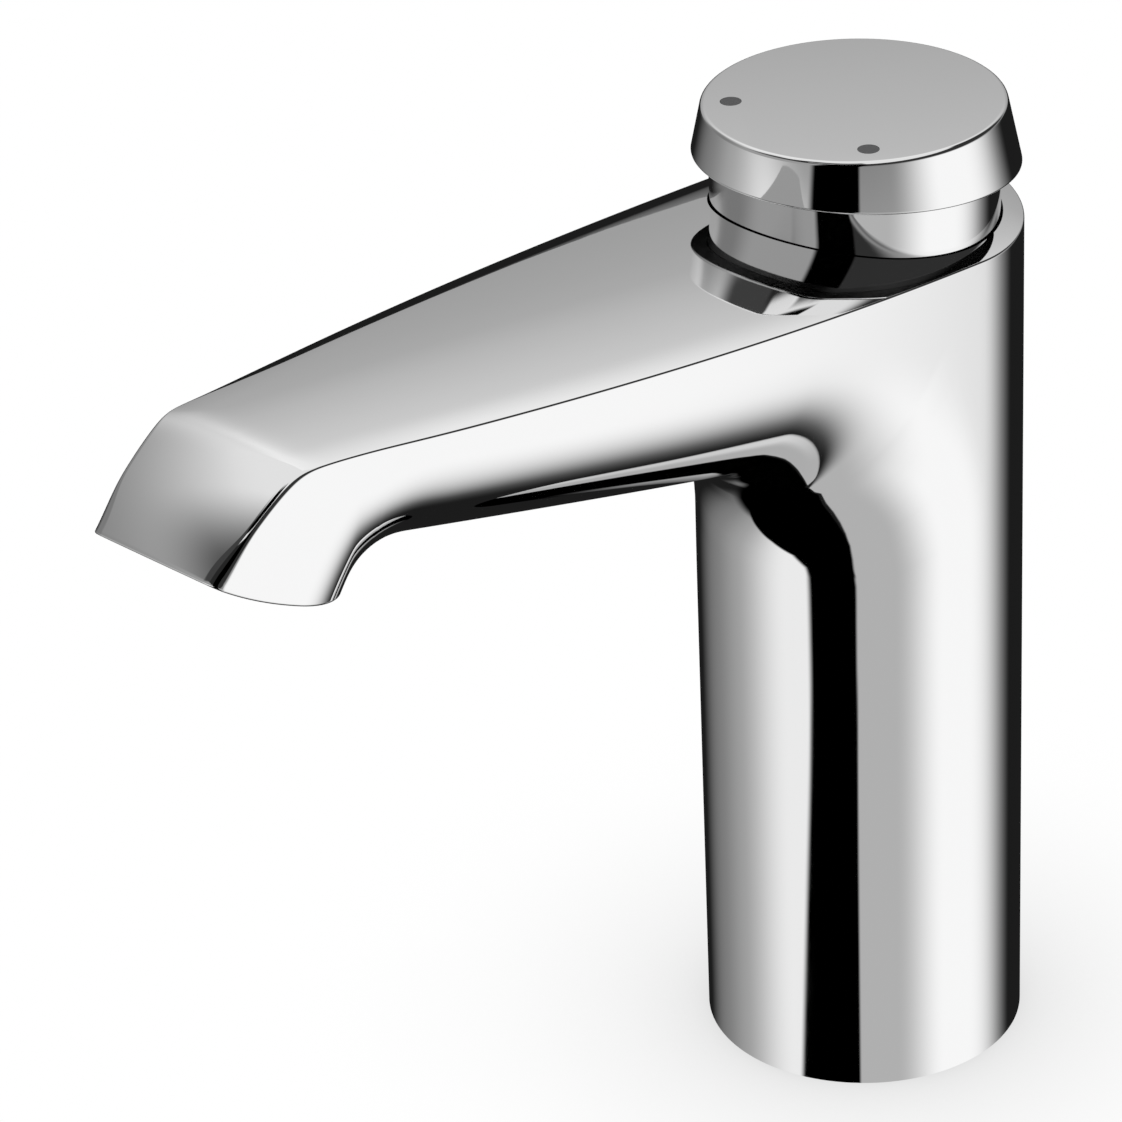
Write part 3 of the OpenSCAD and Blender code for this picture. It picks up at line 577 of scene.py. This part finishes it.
# Button: a turned brass cap, plated like the body, with a level top and a side that widens
# downwards to an edge that leans with the body's top face. It is screwed onto the spindle.
CAP_TOP, CAP_TOP_R, CAP_EDGE_H, CAP_FLARE = 151.1, 21.65, 142.4, 1.8 / 8.5
RIM_R, CAP_EDGE_R, UNDER_FACING = 0.6, 0.45, 0.7
CAP_BORE_R, CAP_SEAT, CAP_ROOF, BOSS_R, BOSS_FOOT, THREAD_R = 20.75, 146.0, 147.1, 6.0, 141.0, 3.3
MARKER_R, MARKER_REACH, MARKER_DEPTH, MARKER_STEPS = 1.55, 17.3, 0.6, 32
MARKER_ANGLE = math.radians(47.8)


def rounded(corner, start, end, count=5):
    """Points of a rounded corner of any angle."""
    weight = math.sqrt((1 + (start - corner).normalized().dot(-(end - corner).normalized())) / 2)
    return [rounded_at(start, corner, end, k / count, weight) for k in range(count + 1)]


def cap_profile(a):
    """Outline of the button in the plane at angle a, from the flat top to the thread."""
    out = Vector((math.cos(a), math.sin(a), 0))
    lean = -TOP_SLOPE * out.y
    edge_r = (CAP_TOP_R + CAP_FLARE * (CAP_TOP - CAP_EDGE_H)) / (1 + CAP_FLARE * lean)
    up = Vector((0, 0, 1))
    rim, edge = CAP_TOP_R * out + CAP_TOP * up, edge_r * out + (CAP_EDGE_H + lean * edge_r) * up
    side, under = (edge - rim).normalized(), -(out + lean * up).normalized()
    row = rounded(rim, rim - RIM_R * out, rim + RIM_R * side)
    row += rounded(edge, edge - CAP_EDGE_R * side, edge + CAP_EDGE_R * under)
    row.append(CAP_BORE_R * out + (CAP_EDGE_H + lean * CAP_BORE_R) * up)
    for r, z in ((CAP_BORE_R, CAP_SEAT), (SKIRT_BORE_R, CAP_SEAT), (SKIRT_BORE_R, CAP_ROOF), (BOSS_R, CAP_ROOF),
                 (BOSS_R, BOSS_FOOT), (THREAD_R, BOSS_FOOT), (THREAD_R, CAP_ROOF), (0, CAP_ROOF)):
        row.append(r * out + z * up)
    return row


bm = bmesh.new()
lay_sheet(bm, [cap_profile(2 * math.pi * k / ROUND_STEPS) for k in range(ROUND_STEPS + 1)])
bmesh.ops.remove_doubles(bm, verts=bm.verts, dist=MERGE)
for turned in (-MARKER_ANGLE, MARKER_ANGLE):
    middle = Vector((MARKER_REACH * math.sin(turned), -MARKER_REACH * math.cos(turned), CAP_TOP))
    bmesh.ops.create_circle(bm, segments=MARKER_STEPS, radius=MARKER_R, matrix=Matrix.Translation(middle))
on_top = [e for e in bm.edges if e.is_boundary or e.is_wire]
bmesh.ops.triangle_fill(bm, use_beauty=True, use_dissolve=False, edges=on_top)
recesses = [e for e in bm.edges if e.is_boundary]
floors = bmesh.ops.extrude_edge_only(bm, edges=recesses)["geom"]
bmesh.ops.translate(bm, vec=(0, 0, -MARKER_DEPTH), verts=[v for v in floors if isinstance(v, bmesh.types.BMVert)])
bmesh.ops.holes_fill(bm, edges=[e for e in bm.edges if e.is_boundary], sides=0)
button_cap = finish_mesh(bm, "button_cap")
button_cap.modifiers.new("even_normals", "WEIGHTED_NORMAL").keep_sharp = True
# The underside is dull, and painted near-black as the shade under the button's edge, which the top face of the body
# mirrors
underside_shade = worked_finish("underside_painted_shade", (0.02, 0.02, 0.02), 1.0, (0.35, 0.5), 120.0, 1500.0, None)
button_cap.data.materials.append(chrome_plate)
button_cap.data.materials.append(underside_shade)
for face in button_cap.data.polygons:
    if face.normal.z < -UNDER_FACING and face.center.xy.length > CAP_BORE_R * MM:
        face.material_index = 1
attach(button_cap, "button")
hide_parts("push_cap")

# Temperature markers: two small round inlays of dark grey enamel, one on each side of the front,
# filled into recesses in the button's top.
marker_grey = worked_finish("marker_enamel", (0.085, 0.085, 0.088), 0.0, (0.3, 0.4), 400.0, 3000.0, None)
finish_node(marker_grey, "warm_marker", "cool_marker")


# Stage: a pale floor with a painted soft shadow round the tap's foot, a white background and a studio of bright
# and dark panels round the tap, which the plating mirrors.
FLOOR_SIZE = 3000
bm = bmesh.new()
bmesh.ops.create_grid(bm, x_segments=1, y_segments=1, size=FLOOR_SIZE)
floor = finish_mesh(bm, "floor")
floor_paint, nodes, links, shader = node_material("floor_paint")
shader.inputs["Base Color"].default_value = (0.9, 0.9, 0.9, 1)
shader.inputs["Roughness"].default_value = 0.9
# Painted shadow: ambient occlusion darkens the white that the camera sees round the tap's foot
shade = nodes.new("ShaderNodeAmbientOcclusion")
shade.inputs["Distance"].default_value = 0.07
painted_shadow_tone = nodes.new("ShaderNodeMapRange")
painted_shadow_tone.inputs["From Min"].default_value = 0.45
painted_shadow_tone.inputs["From Max"].default_value = 0.95
painted_shadow_tone.inputs["To Min"].default_value = 0.72
painted_shadow_tone.inputs["To Max"].default_value = 1.0
white = nodes.new("ShaderNodeEmission")
rays = nodes.new("ShaderNodeLightPath")
blend = nodes.new("ShaderNodeMixShader")
links.new(shade.outputs["AO"], painted_shadow_tone.inputs["Value"])
links.new(painted_shadow_tone.outputs["Result"], white.inputs["Color"])
links.new(rays.outputs["Is Camera Ray"], blend.inputs["Fac"])
links.new(shader.outputs["BSDF"], blend.inputs[1])
links.new(white.outputs["Emission"], blend.inputs[2])
links.new(blend.outputs["Shader"], nodes["Material Output"].inputs["Surface"])
floor.data.materials.append(floor_paint)
floor.visible_glossy = False

# Pale card close behind the tap, which its top faces mirror: brighter upwards, fading out sideways
CAMERA_AZIMUTH = math.radians(45.143)
CARD_FOOT, CARD_HEAD, CARD_BACK, CARD_HALF, CARD_PLAIN = 154.0, 440.0, 160.0, 190.0, 110.0
CARD_TONES = ((160, 0.36), (190, 0.39), (210, 0.42), (230, 0.5), (260, 0.59), (285, 0.66), (320, 0.76),
              (360, 0.86), (440, 0.92))


def fill_ramp(node, stops, low, high):
    """Sets the greys of a colour ramp that stands for values from low to high."""
    ramp = node.color_ramp
    while len(ramp.elements) < len(stops):
        ramp.elements.new(1.0)
    for element, (value, level) in zip(ramp.elements, stops):
        element.position = (value - low) / (high - low)
        element.color = (level, level, level, 1)


away = Vector((-math.sin(CAMERA_AZIMUTH), math.cos(CAMERA_AZIMUTH), 0))
across = Vector((math.cos(CAMERA_AZIMUTH), math.sin(CAMERA_AZIMUTH), 0))
bm = bmesh.new()
lay_sheet(bm, [[CARD_BACK * away + side * CARD_HALF * across + Vector((0, 0, z)) for side in (-1, 1)]
               for z in (CARD_FOOT, CARD_HEAD)])
card = finish_mesh(bm, "backdrop_card")
card_paper, nodes, links, shader = node_material("card_paper")
nodes.remove(shader)
place = nodes.new("ShaderNodeTexCoord")
turn = nodes.new("ShaderNodeMapping")
turn.inputs["Rotation"].default_value = (0, 0, -CAMERA_AZIMUTH)
split = nodes.new("ShaderNodeSeparateXYZ")
climb = nodes.new("ShaderNodeMapRange")
climb.inputs["From Min"].default_value = CARD_FOOT * MM
climb.inputs["From Max"].default_value = CARD_HEAD * MM
paper = nodes.new("ShaderNodeValToRGB")
fill_ramp(paper, CARD_TONES, CARD_FOOT, CARD_HEAD)
sideways = nodes.new("ShaderNodeMath")
sideways.operation = "ABSOLUTE"
fade = nodes.new("ShaderNodeMapRange")
fade.interpolation_type = "SMOOTHSTEP"
fade.inputs["From Min"].default_value = CARD_PLAIN * MM
fade.inputs["From Max"].default_value = CARD_HALF * MM
glow, clear = nodes.new("ShaderNodeEmission"), nodes.new("ShaderNodeBsdfTransparent")
blend = nodes.new("ShaderNodeMixShader")
links.new(place.outputs["Object"], turn.inputs["Vector"])
links.new(turn.outputs["Vector"], split.inputs["Vector"])
links.new(split.outputs["Z"], climb.inputs["Value"])
links.new(climb.outputs["Result"], paper.inputs["Fac"])
links.new(paper.outputs["Color"], glow.inputs["Color"])
links.new(split.outputs["X"], sideways.inputs[0])
links.new(sideways.outputs["Value"], fade.inputs["Value"])
links.new(fade.outputs["Result"], blend.inputs["Fac"])
links.new(glow.outputs["Emission"], blend.inputs[1])
links.new(clear.outputs["BSDF"], blend.inputs[2])
links.new(blend.outputs["Shader"], nodes["Material Output"].inputs["Surface"])
card.data.materials.append(card_paper)
card.visible_camera = card.visible_diffuse = card.visible_shadow = card.visible_transmission = False

# Shared effect: one panel of the studio, by its edges in degrees of bearing and elevation
panel_group = bpy.data.node_groups.new("studio_panel", "ShaderNodeTree")
for socket in ("Under", "Bearing", "Elevation", "Level", "Left", "Left Blur", "Left Lean", "Right", "Right Blur",
               "Right Lean", "Foot", "Foot Blur", "Head", "Head Blur"):
    panel_group.interface.new_socket(socket, in_out="INPUT", socket_type="NodeSocketFloat")
panel_group.interface.new_socket("Level", in_out="OUTPUT", socket_type="NodeSocketFloat")
inputs, outputs = panel_group.nodes.new("NodeGroupInput"), panel_group.nodes.new("NodeGroupOutput")


def panel_math(operation, first, second):
    """Sum, difference or product of two values in the panel's group."""
    node = panel_group.nodes.new("ShaderNodeMath")
    node.operation = operation
    panel_group.links.new(first, node.inputs[0])
    panel_group.links.new(second, node.inputs[1])
    return node.outputs["Value"]


def panel_step(value, empty, full):
    """Soft step from 0 where the value is empty to 1 where it is full."""
    node = panel_group.nodes.new("ShaderNodeMapRange")
    node.interpolation_type = "SMOOTHSTEP"
    panel_group.links.new(value, node.inputs["Value"])
    panel_group.links.new(empty, node.inputs["From Min"])
    panel_group.links.new(full, node.inputs["From Max"])
    return node.outputs["Result"]


given = inputs.outputs
drop = panel_math("SUBTRACT", given["Elevation"], given["Head"])
left_line = panel_math("SUBTRACT", given["Bearing"], panel_math("MULTIPLY", drop, given["Left Lean"]))
right_line = panel_math("SUBTRACT", given["Bearing"], panel_math("MULTIPLY", drop, given["Right Lean"]))
mask = panel_step(left_line, panel_math("SUBTRACT", given["Left"], given["Left Blur"]), given["Left"])
for edge in (panel_step(right_line, panel_math("ADD", given["Right"], given["Right Blur"]), given["Right"]),
             panel_step(given["Elevation"], panel_math("SUBTRACT", given["Foot"], given["Foot Blur"]), given["Foot"]),
             panel_step(given["Elevation"], panel_math("ADD", given["Head"], given["Head Blur"]), given["Head"])):
    mask = panel_math("MULTIPLY", mask, edge)
cover = panel_group.nodes.new("ShaderNodeMix")
panel_group.links.new(mask, cover.inputs["Factor"])
panel_group.links.new(given["Under"], cover.inputs["A"])
panel_group.links.new(given["Level"], cover.inputs["B"])
panel_group.links.new(cover.outputs["Result"], outputs.inputs["Level"])

world = bpy.data.worlds.new("studio")
bpy.context.scene.world = world
world.use_nodes = True
nodes, links = world.node_tree.nodes, world.node_tree.links
place = nodes.new("ShaderNodeTexCoord")
facing = nodes.new("ShaderNodeMapping")
facing.inputs["Rotation"].default_value = (0, 0, -CAMERA_AZIMUTH)
links.new(place.outputs["Generated"], facing.inputs["Vector"])
split = nodes.new("ShaderNodeSeparateXYZ")
links.new(facing.outputs["Vector"], split.inputs["Vector"])


def world_math(operation, *values):
    """Result of a math node in the world, from sockets or plain numbers."""
    node = nodes.new("ShaderNodeMath")
    node.operation = operation
    for socket, value in zip(node.inputs, values):
        if isinstance(value, float):
            socket.default_value = value
        else:
            links.new(value, socket)
    return node.outputs["Value"]


toward = world_math("MULTIPLY", split.outputs["Y"], -1.0)
bearing = world_math("DEGREES", world_math("ARCTAN2", split.outputs["X"], toward))
elevation = world_math("DEGREES", world_math("ARCSINE", split.outputs["Z"]))

# Back wall and ceiling: dark below the level of the tap, brighter and brighter above it
NADIR, ZENITH = -90.0, 90.0
WALL_TONES = ((3, 0.012), (10, 0.37), (20, 0.45), (32, 0.58), (50, 0.8))
rise = nodes.new("ShaderNodeMapRange")
rise.inputs["From Min"].default_value = NADIR
rise.inputs["From Max"].default_value = ZENITH
links.new(elevation, rise.inputs["Value"])
wall = nodes.new("ShaderNodeValToRGB")
fill_ramp(wall, WALL_TONES, NADIR, ZENITH)
links.new(rise.outputs["Result"], wall.inputs["Fac"])
light = wall.outputs["Color"]


def hang_panel(level, left, right, foot, head):
    """Hangs a panel in front of the others: edges as angle, blur and, at the sides, lean."""
    global light
    panel = nodes.new("ShaderNodeGroup")
    panel.node_tree = panel_group
    links.new(light, panel.inputs["Under"])
    links.new(bearing, panel.inputs["Bearing"])
    links.new(elevation, panel.inputs["Elevation"])
    panel.inputs["Level"].default_value = level
    for side, edge in (("Left", left), ("Right", right), ("Foot", foot), ("Head", head)):
        for socket, value in zip((side, side + " Blur", side + " Lean"), edge):
            panel.inputs[socket].default_value = value
    light = panel.outputs["Level"]


# Grey wall on the left, with a paler strip along it and a bright box below the strip
hang_panel(0.2, (-125, 35), (-28, 2), (-91, 1), (22, 34))
hang_panel(0.33, (-85, 30), (-28, 2), (-8, 8), (38, 17))
hang_panel(0.4, (-88, 44), (-28, 2), (-91, 1), (-6, 5))
hang_panel(0.88, (-56, 44), (-28, 2), (-91, 1), (-6, 5))
# Grey wall on the right of the camera, with a brighter box further right
hang_panel(0.46, (-7, 2), (75, 40), (-91, 1), (-10, 20))
hang_panel(0.99, (58, 38), (78, 52), (-38, 37), (-4, 18))
# Dark upper walls on the right and on the left, and two black strips for the nose's near edge
hang_panel(0.03, (-5, 5), (128, 22), (16, 10), (52, 4))
hang_panel(0.05, (-90, 24), (-50, 4), (44, 10), (57, 8))
hang_panel(0.02, (-50, 5), (-12, 3), (40, 6), (50.5, 2))
hang_panel(0.0, (-75, 12), (6, 4), (57.5, 1.5), (72, 8))
# Black flag beside the camera, and the black cloth on the floor in front of it
hang_panel(0.0, (-21.2, 5, 0.19), (8.2, 2.5, 0.19), (-91, 1), (52, 4))
hang_panel(0.0, (-37, 5, 3.0), (-7.5, 2.5, 1.15), (-60, 2), (-31, 1))
hang_panel(0.0, (-165, 8), (-33, 2.5), (-91, 1), (-57, 6))

# The camera itself sees plain white
rays = nodes.new("ShaderNodeLightPath")
seen = nodes.new("ShaderNodeMix")
seen.data_type = "RGBA"
seen.inputs["B"].default_value = (1, 1, 1, 1)
links.new(rays.outputs["Is Camera Ray"], seen.inputs["Factor"])
links.new(light, seen.inputs["A"])
links.new(seen.outputs["Result"], nodes["Background"].inputs["Color"])

# Key light from the right, for the enamel and other dull surfaces; the plating doesn't mirror it
KEY_AIM = Vector((0, -0.04, 0.08))
key = bpy.data.objects.new("key_light", bpy.data.lights.new("key_light", "AREA"))
key.data.shape = "RECTANGLE"
key.data.size, key.data.size_y = 0.6, 0.9
key.data.energy = 6.0
key.location = (0.9, 0.2, 0.9)
key.rotation_euler = (KEY_AIM - key.location).to_track_quat("-Z", "Y").to_euler()
key.visible_glossy = False
bpy.context.collection.objects.link(key)


# Camera at the photograph's place, fitted to the outlines of the column, the foot and the button:
# a long lens, in front of the tap and to its right, which looks down on it.
CAMERA_TURN = (60.994, 2.196, 43.926)
camera = bpy.data.objects.new("camera", bpy.data.cameras.new("camera"))
camera.data.sensor_width = 36.0
camera.data.lens = 164.87
camera.data.clip_start, camera.data.clip_end = 0.05, 20.0
camera.location = (0.43861, -0.49844, 0.44586)
camera.rotation_euler = [math.radians(a) for a in CAMERA_TURN]
bpy.context.collection.objects.link(camera)
bpy.context.scene.camera = camera
bpy.context.scene.view_settings.view_transform = "Standard"
